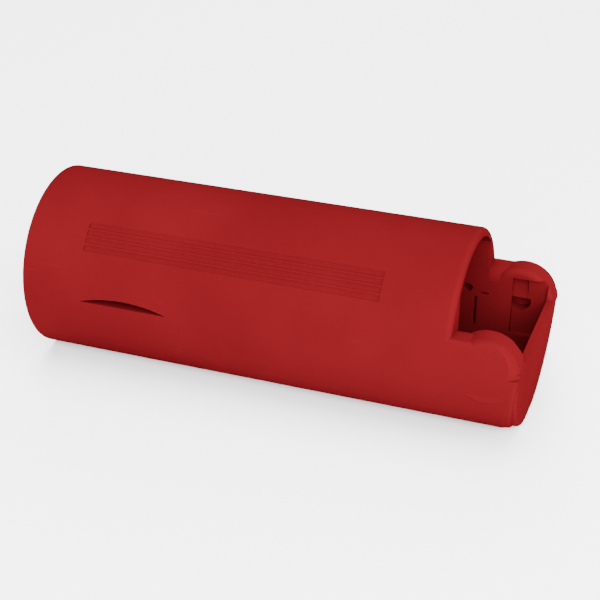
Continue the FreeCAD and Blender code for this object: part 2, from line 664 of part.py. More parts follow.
def guide_fence():
    """The sliding fence: two legs joined by a bridge, with an arm for its button."""
    legs = []
    cuts = []
    for leg_x in (FRONT_LEG_X, REAR_LEG_X):
        half = LEG_L / 2
        legs.append(box(leg_x - half, leg_x + half, LEG_Y0, LEG_Y1, LEG_Z0, BRIDGE_Z1))
        room = ROLLER_R + 0.3
        cuts.append(box(leg_x - room, leg_x + room, LEG_Y0 - 1, ROLLER_Y, ROLLER_Z0 - 0.2, ROLLER_Z1 + 0.2))
        cuts.append(rod_z(room, ROLLER_Z0 - 0.2, ROLLER_Z1 + 0.2, leg_x, ROLLER_Y))
        cuts.append(rod_z(AXLE_R, 0, AXLE_TOP_Z, leg_x, ROLLER_Y))
    bridge = box(REAR_LEG_X - LEG_L / 2, FRONT_LEG_X + LEG_L / 2, BRIDGE_Y0, BRIDGE_Y1,
                 BRIDGE_Z0, BRIDGE_Z1)
    arm = box(BUTTON_X - 5, BUTTON_X + 5, BRIDGE_Y0 + 0.4, BRIDGE_Y1, BRIDGE_Z1, BUTTON_Z + 3)
    cuts.append(rod_y(SCREW_R, 0, 12, BUTTON_X, BUTTON_Z))
    fence = legs[0].fuse([legs[1], bridge, arm]).cut(cuts)
    return fence.common(tube_region(TUBE_R - 0.4, REAR_X, FRONT_X)).removeSplitter()


def roller_axle(leg_x):
    """The pin that a guide roller turns on."""
    return rod_z(AXLE_R, LEG_Z0 + 0.1, AXLE_TOP_Z, leg_x, ROLLER_Y)


def guide_roller(leg_x):
    """A small barrel roller that runs along the ski's side."""
    roller = rod_z(ROLLER_R, ROLLER_Z0, ROLLER_Z1, leg_x, ROLLER_Y)
    rims = [e for e in roller.Edges if abs(e.Length - 2 * math.pi * ROLLER_R) < 0.01]
    roller = roller.makeFillet(0.35, rims)
    return roller.cut(rod_z(AXLE_R + 0.04, ROLLER_Z0 - 1, ROLLER_Z1 + 1, leg_x, ROLLER_Y))


def fence_slide_button():
    """The ribbed thumb button on the far flank, with the stem that carries the fence."""
    cap = box(BUTTON_X - BUTTON_HALF_L, BUTTON_X + BUTTON_HALF_L, BUTTON_Y0, BUTTON_Y1,
              BUTTON_Z - BUTTON_HALF_H, BUTTON_Z + BUTTON_HALF_H)
    corners = [e for e in cap.Edges if abs(e.BoundBox.YMax - e.BoundBox.YMin) > 1]
    cap = cap.makeFillet(1.4, corners)
    valleys = [box(BUTTON_X - 10, BUTTON_X + 10, BUTTON_Y1 - 0.6, BUTTON_Y1 + 1, z - 0.35, z + 0.35)
               for z in (BUTTON_Z - 2.3, BUTTON_Z + 2.3)]
    stem = box(BUTTON_X - STEM_HALF, BUTTON_X + STEM_HALF, BRIDGE_Y1, BUTTON_Y0,
               BUTTON_Z - STEM_HALF, BUTTON_Z + STEM_HALF)
    head = screw_clearance(V(BUTTON_X, BUTTON_Y1 - 0.3, BUTTON_Z), X_DIR, 90)
    return cap.fuse(stem).cut(valleys + [head]).removeSplitter()


def fence_button_screw():
    """The screw that ties the button to the fence."""
    head_y = BUTTON_Y1 - BUTTON_SCREW_RECESS
    return placed_screw(head_y - BRIDGE_Y0 - 0.6, V(BUTTON_X, head_y, BUTTON_Z), X_DIR, 90)


def parts_table():
    """Every node with its solids."""
    front_wing_x, rear_wing_x = WING_X
    return {
        "housing_shell": [housing_shell()],
        "rear_cap": [rear_cap()],
        "rear_cap_screws": rear_cap_screws(),
        "sole_plate": [sole_plate()],
        "sole_screws": screws_at(sole_screw_places(), SOLE_SCREW_L),
        "pivot_block_screws": screws_at(block_screw_places(), BLOCK_SCREW_L),
        "front_pivot_block": [pivot_block(True)],
        "rear_pivot_block": [pivot_block(False)],
        "front_spindle_bush": [spindle_bush(BULKHEAD_BACK_X, BULKHEAD_FRONT_X, True)],
        "rear_spindle_bush": [spindle_bush(HANGER_X0, HANGER_X1, False)],
        "detent_ball": [detent_ball()],
        "detent_spring": [detent_spring()],
        "front_cradle_spring": [cradle_spring(front_wing_x)],
        "rear_cradle_spring": [cradle_spring(rear_wing_x)],
        "file_cradle": [file_cradle()],
        "file_blade": [box(FILE_X0, FILE_X1, -FILE_HALF_W, FILE_HALF_W, FILE_Z0, FILE_Z0 + FILE_T)],
        "file_magnets": [rod_z(MAGNET_R, FILE_Z0 + FILE_T, FILE_Z0 + FILE_T + MAGNET_T, x, 0)
                         for x in magnet_xs()],
        "cradle_pivot_pins": [rod_x(PIVOT_PIN_R, x0, x1, 0, PIVOT_Z) for x0, x1 in pin_ranges()],
        "angle_spindle": [angle_spindle()],
        "angle_dial": [angle_dial()],
        "dial_set_screw": [dial_set_screw()],
        "spindle_retaining_ring": [retaining_ring()],
        "guide_fence": [guide_fence()],
        "roller_axles": [roller_axle(x) for x in (FRONT_LEG_X, REAR_LEG_X)],
        "front_guide_roller": [guide_roller(FRONT_LEG_X)],
        "rear_guide_roller": [guide_roller(REAR_LEG_X)],
        "fence_slide_button": [fence_slide_button()],
        "fence_button_screw": [fence_button_screw()],
    }


def main():
    """Builds every node and writes one STEP file for each."""
    os.makedirs("parts", exist_ok=True)
    for name, solids in parts_table().items():
        shape = solids[0] if len(solids) == 1 else Part.makeCompound(solids)
        shape.exportStep(f"parts/{name}.step")
        print(f"{name}: {len(shape.Solids)} solid(s), {shape.Volume:.2f} mm3, valid {shape.isValid()}")


if __name__ == "__main__":
    main()
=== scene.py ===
"""Looks of a pocket ski-edge tuning tool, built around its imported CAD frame.

The red tube, its cap and its button keep their CAD shapes and get a moulded plastic finish.
The file's teeth, the coil springs, the screws and the dial's figures are made here.
All lengths are in metres.
"""

import json
import logging
import math
from dataclasses import dataclass
from enum import Enum
from typing import Any, Dict, List, Optional, Tuple, Union

import bmesh
import bpy
from mathutils import Matrix, Vector


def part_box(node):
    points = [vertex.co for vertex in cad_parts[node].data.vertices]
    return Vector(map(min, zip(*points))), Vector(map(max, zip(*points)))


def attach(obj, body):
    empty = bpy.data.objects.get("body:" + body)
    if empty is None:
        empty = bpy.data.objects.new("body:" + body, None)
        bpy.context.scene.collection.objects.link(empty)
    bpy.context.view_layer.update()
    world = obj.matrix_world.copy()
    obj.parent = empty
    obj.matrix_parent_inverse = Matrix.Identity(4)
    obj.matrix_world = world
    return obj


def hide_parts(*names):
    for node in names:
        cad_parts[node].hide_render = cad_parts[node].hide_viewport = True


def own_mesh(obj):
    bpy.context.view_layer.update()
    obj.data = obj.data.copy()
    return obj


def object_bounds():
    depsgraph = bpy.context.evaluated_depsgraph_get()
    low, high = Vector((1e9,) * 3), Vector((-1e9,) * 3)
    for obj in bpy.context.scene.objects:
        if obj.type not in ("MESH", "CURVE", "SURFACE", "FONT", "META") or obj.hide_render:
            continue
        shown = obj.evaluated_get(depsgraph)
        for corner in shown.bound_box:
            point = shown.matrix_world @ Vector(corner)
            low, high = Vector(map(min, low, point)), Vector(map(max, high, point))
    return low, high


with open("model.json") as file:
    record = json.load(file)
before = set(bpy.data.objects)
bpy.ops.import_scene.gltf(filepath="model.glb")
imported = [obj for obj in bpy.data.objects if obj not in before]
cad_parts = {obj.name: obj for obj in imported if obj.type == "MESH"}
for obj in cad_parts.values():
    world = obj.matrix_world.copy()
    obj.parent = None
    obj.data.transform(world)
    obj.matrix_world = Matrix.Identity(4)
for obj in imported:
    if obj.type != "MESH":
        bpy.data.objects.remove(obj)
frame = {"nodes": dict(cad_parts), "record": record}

CAD_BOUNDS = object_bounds()
MM = 0.001

logging.basicConfig(level=logging.INFO, format="%(message)s")
log = logging.getLogger("edge_tool")

Colour = Tuple[float, float, float]
Point = Tuple[float, float, float]


class Axis(Enum):
    """The row axis that a turned piece points along."""

    X = "X"
    Y = "Y"
    Z = "Z"


# ---------------------------------------------------------------- shader maths


class Value:
    """A shader value whose operators add Math nodes."""

    def __init__(self, sheet: "ShaderSheet", socket: bpy.types.NodeSocket) -> None:
        """Wraps a node's output socket.

        Args:
            sheet: The shader sheet that the socket belongs to.
            socket: The output socket.
        """
        self.sheet = sheet
        self.socket = socket

    def _math(self, operation: str, *operands: "Operand") -> "Value":
        """Adds a Math node.

        Args:
            operation: The Math node's operation.
            operands: Its inputs in order.

        Returns:
            The node's result.
        """
        inputs = dict(enumerate(operands))
        node = self.sheet.node("ShaderNodeMath", {"operation": operation}, inputs)
        return Value(self.sheet, node.outputs[0])

    def __add__(self, other: "Operand") -> "Value":
        """Adds."""
        return self._math("ADD", self, other)

    __radd__ = __add__

    def __mul__(self, other: "Operand") -> "Value":
        """Multiplies."""
        return self._math("MULTIPLY", self, other)

    __rmul__ = __mul__

    def __sub__(self, other: "Operand") -> "Value":
        """Subtracts."""
        return self._math("SUBTRACT", self, other)

    def __rsub__(self, other: "Operand") -> "Value":
        """Subtracts from the other operand."""
        return self._math("SUBTRACT", other, self)

    def ramp(self, low: float, high: float) -> "Value":
        """Maps low..high to a smooth 0..1.

        Args:
            low: The value that becomes 0.
            high: The value that becomes 1.

        Returns:
            The smooth step.
        """
        node = self.sheet.node(
            "ShaderNodeMapRange",
            {"interpolation_type": "SMOOTHSTEP"},
            {"Value": self, "From Min": low, "From Max": high},
        )
        return Value(self.sheet, node.outputs["Result"])


Operand = Union[Value, float]


class ShaderSheet:
    """A material's node tree around one Principled shader."""

    def __init__(self, name: str) -> None:
        """Makes an empty material.

        Args:
            name: The material's name.
        """
        self.material = bpy.data.materials.new(name)
        self.material.use_nodes = True
        self.tree = self.material.node_tree
        self.tree.nodes.clear()
        self.shader = self.tree.nodes.new("ShaderNodeBsdfPrincipled")
        output = self.tree.nodes.new("ShaderNodeOutputMaterial")
        self.tree.links.new(self.shader.outputs["BSDF"], output.inputs["Surface"])
        coordinates = self.tree.nodes.new("ShaderNodeTexCoord")
        self.place = coordinates.outputs["Object"]

    def node(self, kind: str, settings: Dict[str, Any],
             inputs: Dict[Union[str, int], Any]) -> bpy.types.Node:
        """Adds a node.

        Args:
            kind: The node's type.
            settings: Its properties, which are set first.
            inputs: Values or links by socket name or index.

        Returns:
            The node.
        """
        node = self.tree.nodes.new(kind)
        for key, setting in settings.items():
            setattr(node, key, setting)
        for key, given in inputs.items():
            self.connect(node.inputs[key], given)
        return node

    def connect(self, socket: bpy.types.NodeSocket, given: Any) -> None:
        """Feeds an input with a link or a constant.

        Args:
            socket: The input socket.
            given: A value, a socket, a colour or a plain constant.
        """
        if isinstance(given, Value):
            self.tree.links.new(given.socket, socket)
        elif isinstance(given, bpy.types.NodeSocket):
            self.tree.links.new(given, socket)
        elif isinstance(given, tuple) and len(given) == 3 and socket.type == "RGBA":
            socket.default_value = (*given, 1.0)
        else:
            socket.default_value = given

    def stretched(self, scale: Point, turn: Point = (0.0, 0.0, 0.0)) -> bpy.types.NodeSocket:
        """Object coordinates scaled and turned by a Mapping node.

        Args:
            scale: The scale along X, Y and Z.
            turn: The rotation in radians.

        Returns:
            The mapped vector.
        """
        mapping = self.node("ShaderNodeMapping", {},
                            {"Vector": self.place, "Scale": scale, "Rotation": turn})
        return mapping.outputs["Vector"]

    def height(self, axis: Axis) -> Value:
        """One object coordinate as a value."""
        split = self.node("ShaderNodeSeparateXYZ", {}, {0: self.place})
        return Value(self, split.outputs[axis.value])

    def noise(self, scale: float, detail: float = 2.0,
              vector: Optional[bpy.types.NodeSocket] = None) -> Value:
        """Noise of about 0..1.

        Args:
            scale: Cells per metre.
            detail: The number of octaves.
            vector: Coordinates; the object's own when left out.

        Returns:
            The noise's value.
        """
        node = self.node("ShaderNodeTexNoise", {}, {
            "Vector": self.place if vector is None else vector, "Scale": scale, "Detail": detail,
        })
        return Value(self, node.outputs["Fac"])

    def cells(self, scale: float) -> Value:
        """Distance to the nearest of a scatter of points."""
        node = self.node("ShaderNodeTexVoronoi", {}, {"Vector": self.place, "Scale": scale})
        return Value(self, node.outputs["Distance"])

    def blend(self, factor: Operand, first: Any, second: Any) -> bpy.types.NodeSocket:
        """Mixes two colours.

        Args:
            factor: 0 gives the first colour, 1 the second.
            first: A colour or a colour socket.
            second: A colour or a colour socket.

        Returns:
            The mixed colour.
        """
        node = self.tree.nodes.new("ShaderNodeMix")
        node.data_type = "RGBA"
        self.connect(node.inputs[0], factor)
        self.connect(node.inputs[6], first)
        self.connect(node.inputs[7], second)
        return node.outputs[2]

    def bump(self, height: Value, distance: float, strength: float = 1.0,
             under: Optional[bpy.types.NodeSocket] = None) -> bpy.types.NodeSocket:
        """A bumped normal.

        Args:
            height: The height from 0 to 1.
            distance: The height's real size in metres.
            strength: How much of it shows.
            under: A normal that this one builds on.

        Returns:
            The normal socket.
        """
        inputs: Dict[Union[str, int], Any] = {
            "Height": height, "Distance": distance, "Strength": strength,
        }
        if under is not None:
            inputs["Normal"] = under
        node = self.node("ShaderNodeBump", {}, inputs)
        return node.outputs["Normal"]

    def finish(self, **sockets: Any) -> bpy.types.Material:
        """Feeds the shader's sockets and returns the material.

        Args:
            sockets: Principled socket names with underscores for spaces.

        Returns:
            The finished material.
        """
        for name, given in sockets.items():
            self.connect(self.shader.inputs[name.replace("_", " ")], given)
        return self.material


# ---------------------------------------------------------------- finishes


@dataclass(frozen=True)
class RedMoulding:
    """Flat red moulded ABS with a fine sparked texture, flow clouds and handling marks."""

    colour: Colour = (0.060, 0.0030, 0.0042)
    deep_colour: Colour = (0.054, 0.0026, 0.0037)
    scuff_colour: Colour = (0.082, 0.008, 0.010)
    along: Point = (0.06, 1.0, 1.0)
    along_turn: Point = (0.0, 0.0, 0.12)
    across: Point = (1.0, 0.10, 1.0)
    across_turn: Point = (0.3, 0.0, 0.9)
    gloss: float = 0.0
    roughness: float = 0.42
    grain_per_metre: float = 2600.0
    cloud_per_metre: float = 38.0
    scratch_per_metre: float = 1560.0
    hairline_per_metre: float = 1300.0
    handled_per_metre: float = 90.0
    wear_per_metre: float = 700.0
    mark_strength: float = 0.16
    wear_strength: float = 0.45
    wear_height: float = 1.6 * MM
    grain_depth: float = 0.018 * MM
    mark_depth: float = 0.010 * MM

    def build(self) -> bpy.types.Material:
        """Builds the material.

        Returns:
            The material.
        """
        sheet = ShaderSheet("red_moulding")
        grain = sheet.noise(self.grain_per_metre, detail=1.5)
        cloud = sheet.noise(self.cloud_per_metre, detail=3.0)
        along = sheet.stretched(self.along, self.along_turn)
        across = sheet.stretched(self.across, self.across_turn)
        scratch = sheet.noise(self.scratch_per_metre, 1.0, along).ramp(0.69, 0.76)
        hairline = sheet.noise(self.hairline_per_metre, 1.0, across).ramp(0.71, 0.77)
        marks = (scratch + hairline) * sheet.noise(self.handled_per_metre, 1.0).ramp(0.52, 0.70)
        sole_wear = 1.0 - sheet.height(Axis.Z).ramp(0.0, self.wear_height)
        worn = sole_wear * sheet.noise(self.wear_per_metre, 3.0, along).ramp(0.42, 0.62)
        shade = sheet.blend(cloud.ramp(0.32, 0.68), self.deep_colour, self.colour)
        scuffs = marks * self.mark_strength + worn * self.wear_strength
        shade = sheet.blend(scuffs, shade, self.scuff_colour)
        rough = self.roughness + (cloud - 0.5) * 0.10 + (grain - 0.5) * 0.05
        rough = rough + marks * 0.12 + worn * 0.2
        normal = sheet.bump(grain, self.grain_depth, 0.55)
        normal = sheet.bump(marks, -self.mark_depth, 0.6, normal)
        return sheet.finish(Base_Color=shade, Roughness=rough, Normal=normal,
                            Specular_IOR_Level=self.gloss)


@dataclass(frozen=True)
class SlidePlastic:
    """Black low-friction polyethylene, streaked along the tube by running over edges."""

    colour: Colour = (0.012, 0.012, 0.013)
    streak_colour: Colour = (0.06, 0.06, 0.062)
    along: Point = (0.035, 1.0, 1.0)
    roughness: float = 0.38
    streaks_per_metre: float = 3800.0
    patches_per_metre: float = 60.0
    grain_per_metre: float = 2200.0
    depth: float = 0.012 * MM

    def build(self) -> bpy.types.Material:
        """Builds the material.

        Returns:
            The material.
        """
        sheet = ShaderSheet("sole_plastic")
        along = sheet.stretched(self.along)
        streak = sheet.noise(self.streaks_per_metre, 2.0, along).ramp(0.52, 0.72)
        patch = sheet.noise(self.patches_per_metre, 2.0).ramp(0.4, 0.7)
        grain = sheet.noise(self.grain_per_metre, 1.0)
        marks = streak * (0.35 + patch * 0.65)
        shade = sheet.blend(marks * 0.55, self.colour, self.streak_colour)
        normal = sheet.bump(streak, -self.depth, 0.7, sheet.bump(grain, self.depth, 0.5))
        rough = self.roughness + marks * 0.22
        return sheet.finish(Base_Color=shade, Roughness=rough, Normal=normal)


@dataclass(frozen=True)
class FilledNylon:
    """Dark glass-filled nylon: a dull skin with pale fibre flecks."""

    colour: Colour = (0.022, 0.022, 0.024)
    fleck_colour: Colour = (0.09, 0.09, 0.092)
    fibre: Point = (0.25, 1.0, 1.0)
    fibre_turn: Point = (0.0, 0.4, 0.3)
    roughness: float = 0.55
    flecks_per_metre: float = 4200.0
    grain_per_metre: float = 1800.0
    grain_depth: float = 0.02 * MM

    def build(self) -> bpy.types.Material:
        """Builds the material.

        Returns:
            The material.
        """
        sheet = ShaderSheet("dark_nylon")
        fibre = sheet.stretched(self.fibre, self.fibre_turn)
        fleck = sheet.noise(self.flecks_per_metre, 2.0, fibre).ramp(0.60, 0.75)
        grain = sheet.noise(self.grain_per_metre, 2.0)
        shade = sheet.blend(fleck * 0.5, self.colour, self.fleck_colour)
        rough = self.roughness + (grain - 0.5) * 0.16 - fleck * 0.1
        normal = sheet.bump(grain, self.grain_depth, 0.6)
        return sheet.finish(Base_Color=shade, Roughness=rough, Normal=normal)


@dataclass(frozen=True)
class WorkedMetal:
    """A metal with tool marks along one direction, clouded tarnish and small scratches."""

    name: str
    colour: Colour
    dull_colour: Colour
    roughness: float
    line_scale: Point = (0.03, 1.0, 1.0)
    line_depth: float = 0.006 * MM
    lines_per_metre: float = 5200.0
    clouds_per_metre: float = 170.0
    pits_per_metre: float = 1500.0

    def build(self) -> bpy.types.Material:
        """Builds the material.

        Returns:
            The material.
        """
        sheet = ShaderSheet(self.name)
        line = sheet.noise(self.lines_per_metre, 2.0, sheet.stretched(self.line_scale))
        cloud = sheet.noise(self.clouds_per_metre, 3.0)
        pit = 1.0 - sheet.cells(self.pits_per_metre).ramp(0.10, 0.22)
        dull = cloud.ramp(0.42, 0.70) * 0.55 + pit * 0.2
        shade = sheet.blend(dull, self.colour, self.dull_colour)
        rough = self.roughness + (line - 0.5) * 0.18 + dull * 0.16
        normal = sheet.bump(line, self.line_depth, 0.8)
        return sheet.finish(Base_Color=shade, Roughness=rough, Normal=normal, Metallic=1.0)


@dataclass(frozen=True)
class PaleAcetal:
    """White acetal: smooth, slightly waxy, with a grey rolling track."""

    colour: Colour = (0.50, 0.50, 0.48)
    grey: Colour = (0.32, 0.32, 0.31)
    track: Point = (0.05, 0.05, 1.0)
    roughness: float = 0.34
    clouds_per_metre: float = 420.0
    grain_per_metre: float = 3000.0
    rings_per_metre: float = 2600.0
    depth: float = 0.008 * MM

    def build(self) -> bpy.types.Material:
        """Builds the material.

        Returns:
            The material.
        """
        sheet = ShaderSheet("white_acetal")
        cloud = sheet.noise(self.clouds_per_metre, 2.0)
        grain = sheet.noise(self.grain_per_metre, 1.0)
        rings = sheet.noise(self.rings_per_metre, 1.0, sheet.stretched(self.track))
        soiled = cloud.ramp(0.45, 0.75) * 0.35 + rings.ramp(0.6, 0.75) * 0.2
        shade = sheet.blend(soiled, self.colour, self.grey)
        rough = self.roughness + cloud * 0.12
        normal = sheet.bump(grain + rings, self.depth, 0.6)
        return sheet.finish(Base_Color=shade, Roughness=rough, Normal=normal)


@dataclass(frozen=True)
class PrintedInk:
    """White pad-printed ink, worn through in places."""

    colour: Colour = (0.78, 0.78, 0.76)
    worn: Colour = (0.25, 0.25, 0.25)
    roughness: float = 0.5
    wear_per_metre: float = 3200.0

    def build(self) -> bpy.types.Material:
        """Builds the material.

        Returns:
            The material.
        """
        sheet = ShaderSheet("dial_ink")
        wear = sheet.noise(self.wear_per_metre, 3.0).ramp(0.58, 0.70)
        shade = sheet.blend(wear * 0.7, self.colour, self.worn)
        return sheet.finish(Base_Color=shade, Roughness=self.roughness + wear * 0.2)


class Finishes:
    """Every finish of the tool, built once."""

    def __init__(self) -> None:
        """Builds the materials."""
        self.red = RedMoulding().build()
        self.sole = SlidePlastic().build()
        self.nylon = FilledNylon().build()
        self.file_steel = WorkedMetal("file_steel", (0.134, 0.134, 0.136), (0.074, 0.074, 0.076),
                                      0.27, (1.0, 0.05, 1.0)).build()
        self.screw_steel = WorkedMetal("screw_steel", (0.148, 0.148, 0.145),
                                       (0.094, 0.092, 0.085), 0.30).build()
        self.ground_steel = WorkedMetal("ground_steel", (0.124, 0.124, 0.127),
                                        (0.081, 0.081, 0.082), 0.22, (1.0, 0.04, 0.04)).build()
        self.spring_steel = WorkedMetal("spring_steel", (0.094, 0.094, 0.096),
                                        (0.049, 0.047, 0.045), 0.30).build()
        self.bronze = WorkedMetal("bronze", (0.13, 0.081, 0.033), (0.071, 0.042, 0.02),
                                  0.40, (1.0, 1.0, 1.0)).build()
        self.nickel = WorkedMetal("nickel", (0.148, 0.141, 0.127), (0.098, 0.094, 0.085),
                                  0.16).build()
        self.anodised = WorkedMetal("anodised", (0.138, 0.141, 0.145), (0.107, 0.109, 0.114),
                                    0.36, (0.05, 1.0, 1.0), 0.004 * MM).build()
        self.acetal = PaleAcetal().build()
        self.ink = PrintedInk().build()

    def by_slot(self) -> Dict[str, bpy.types.Material]:
        """The materials by the record's slot names.

        Returns:
            A material for each slot.
        """
        return {
            "red_moulding": self.red,
            "sole_plastic": self.sole,
            "dark_nylon": self.nylon,
            "file_steel": self.file_steel,
            "screw_steel": self.screw_steel,
            "ground_steel": self.ground_steel,
            "spring_steel": self.spring_steel,
            "bronze": self.bronze,
            "nickel": self.nickel,
            "anodised": self.anodised,
            "white_acetal": self.acetal,
        }


def dress_cad_nodes(finishes: Finishes) -> None:
    """Gives each CAD node the finish of its record slot.

    Args:
        finishes: The built materials.
    """
    slots = {entry["node"]: entry["material_slot"] for entry in frame["record"]["subparts"]}
    materials = finishes.by_slot()
    for name, obj in frame["nodes"].items():
        material = materials[slots[name]]
        if not obj.material_slots:
            obj.data.materials.append(material)
        for slot in obj.material_slots:
            slot.material = material
        log.info("dressed %s in %s", name, slots[name])


# ---------------------------------------------------------------- grown pieces


class Recipe:
    """A Geometry Nodes tree with named sizes, ending in realised geometry with one material."""

    def __init__(self, name: str) -> None:
        """Makes an empty tree.

        Args:
            name: The tree's name.
        """
        self.tree = bpy.data.node_groups.new(name, "GeometryNodeTree")
        self.tree.interface.new_socket("Geometry", in_out="OUTPUT",
                                       socket_type="NodeSocketGeometry")
        self.entry = self.tree.nodes.new("NodeGroupInput")
        self.exit = self.tree.nodes.new("NodeGroupOutput")
        self.identifiers: Dict[str, str] = {}

    def _ask(self, name: str, kind: str, default: Any) -> bpy.types.NodeSocket:
        """Adds a named input.

        Args:
            name: The input's name.
            kind: The socket's type.
            default: What it holds until a size is given.

        Returns:
            The input's socket inside the tree.
        """
        item = self.tree.interface.new_socket(name, in_out="INPUT", socket_type=kind)
        item.default_value = default
        self.identifiers[name] = item.identifier
        return self.entry.outputs[name]

    def length(self, name: str, default: float) -> bpy.types.NodeSocket:
        """Adds a length in metres."""
        return self._ask(name, "NodeSocketFloat", default)

    def count(self, name: str, default: int) -> bpy.types.NodeSocket:
        """Adds a whole number."""
        return self._ask(name, "NodeSocketInt", default)

    def place(self, name: str) -> bpy.types.NodeSocket:
        """Adds a point or a vector."""
        return self._ask(name, "NodeSocketVector", (0.0, 0.0, 0.0))

    def node(self, kind: str, settings: Dict[str, Any],
             inputs: Dict[Union[str, int], Any]) -> bpy.types.Node:
        """Adds a node.

        Args:
            kind: The node's type.
            settings: Its properties.
            inputs: Values or sockets by name or index; a list feeds a socket that takes several.

        Returns:
            The node.
        """
        node = self.tree.nodes.new(kind)
        for key, setting in settings.items():
            setattr(node, key, setting)
        for key, given in inputs.items():
            for one in given if isinstance(given, list) else [given]:
                if isinstance(one, bpy.types.NodeSocket):
                    self.tree.links.new(one, node.inputs[key])
                else:
                    node.inputs[key].default_value = one
        return node

    def maths(self, operation: str, first: Any, second: Any) -> bpy.types.NodeSocket:
        """Works out one number from two."""
        inputs = {0: first, 1: second}
        return self.node("ShaderNodeMath", {"operation": operation}, inputs).outputs[0]

    def point(self, x: Any, y: Any, z: Any) -> bpy.types.NodeSocket:
        """Joins three numbers into a vector."""
        return self.node("ShaderNodeCombineXYZ", {}, {"X": x, "Y": y, "Z": z}).outputs[0]

    def block(self, size: Any) -> bpy.types.NodeSocket:
        """A box about the origin."""
        return self.node("GeometryNodeMeshCube", {}, {"Size": size}).outputs["Mesh"]

    def moved(self, shape: bpy.types.NodeSocket, shift: Any) -> bpy.types.NodeSocket:
        """Moves a shape."""
        inputs = {"Geometry": shape, "Translation": shift}
        return self.node("GeometryNodeTransform", {}, inputs).outputs["Geometry"]

    def helix(self, turns: Any, radius: Any, height: Any, steps: int) -> bpy.types.NodeSocket:
        """A helix about +Z that starts at height 0.

        Args:
            turns: The number of turns.
            radius: The helix's radius.
            height: How far it climbs.
            steps: The number of steps in each turn.

        Returns:
            The helix's curve.
        """
        inputs = {"Resolution": steps, "Rotations": turns, "Start Radius": radius,
                  "End Radius": radius, "Height": height}
        return self.node("GeometryNodeCurveSpiral", {}, inputs).outputs["Curve"]

    def swept(self, path: bpy.types.NodeSocket, radius: Any, sides: int) -> bpy.types.NodeSocket:
        """Sweeps a round section along a path and closes its ends.

        Args:
            path: The path's curve.
            radius: The section's radius.
            sides: The section's number of sides.

        Returns:
            The swept mesh.
        """
        ring = self.node("GeometryNodeCurvePrimitiveCircle", {},
                         {"Resolution": sides, "Radius": radius})
        inputs = {"Curve": path, "Profile Curve": ring.outputs["Curve"], "Fill Caps": True}
        sweep = self.node("GeometryNodeCurveToMesh", {}, inputs)
        return sweep.outputs["Mesh"]

    def joined(self, shapes: List[bpy.types.NodeSocket]) -> bpy.types.NodeSocket:
        """Joins shapes into one."""
        return self.node("GeometryNodeJoinGeometry", {}, {"Geometry": shapes}).outputs["Geometry"]

    def copies(self, shape: bpy.types.NodeSocket, number: Any, start: Any, step: Any,
               turn: Any = (0.0, 0.0, 0.0)) -> bpy.types.NodeSocket:
        """Sets copies of a shape along a line.

        Args:
            shape: The shape.
            number: The number of copies.
            start: The first copy's place.
            step: The way from one copy to the next.
            turn: How each copy is turned, in radians.

        Returns:
            The copies as instances.
        """
        line = self.node("GeometryNodeMeshLine", {"mode": "OFFSET"},
                         {"Count": number, "Start Location": start, "Offset": step})
        spread = self.node("GeometryNodeInstanceOnPoints", {},
                           {"Points": line.outputs["Mesh"], "Instance": shape, "Rotation": turn})
        return spread.outputs["Instances"]

    def close(self, shape: bpy.types.NodeSocket, material: bpy.types.Material) -> None:
        """Ends the tree in realised geometry with a material.

        Args:
            shape: The finished shape.
            material: Its material.
        """
        real = self.node("GeometryNodeRealizeInstances", {}, {"Geometry": shape})
        dressed = self.node("GeometryNodeSetMaterial", {},
                            {"Geometry": real.outputs["Geometry"], "Material": material})
        self.tree.links.new(dressed.outputs["Geometry"], self.exit.inputs["Geometry"])

    def grow(self, name: str, sizes: Dict[str, Any], sharp_deg: float = 30.0) -> bpy.types.Object:
        """Runs the tree with real sizes and keeps the result as a plain mesh.

        Args:
            name: The new object's name.
            sizes: A value for each named input.
            sharp_deg: Edges sharper than this stay sharp.

        Returns:
            The object, at the origin.
        """
        host = bpy.data.objects.new(name, bpy.data.meshes.new(name))
        bpy.context.scene.collection.objects.link(host)
        modifier = host.modifiers.new("grow", "NODES")
        modifier.node_group = self.tree
        for key, size in sizes.items():
            modifier[self.identifiers[key]] = size
        host.update_tag()
        depsgraph = bpy.context.evaluated_depsgraph_get()
        mesh = bpy.data.meshes.new_from_object(host.evaluated_get(depsgraph))
        host.modifiers.clear()
        host.data = mesh
        mesh.polygons.foreach_set("use_smooth", [True] * len(mesh.polygons))
        mesh.set_sharp_from_angle(angle=math.radians(sharp_deg))
        return host


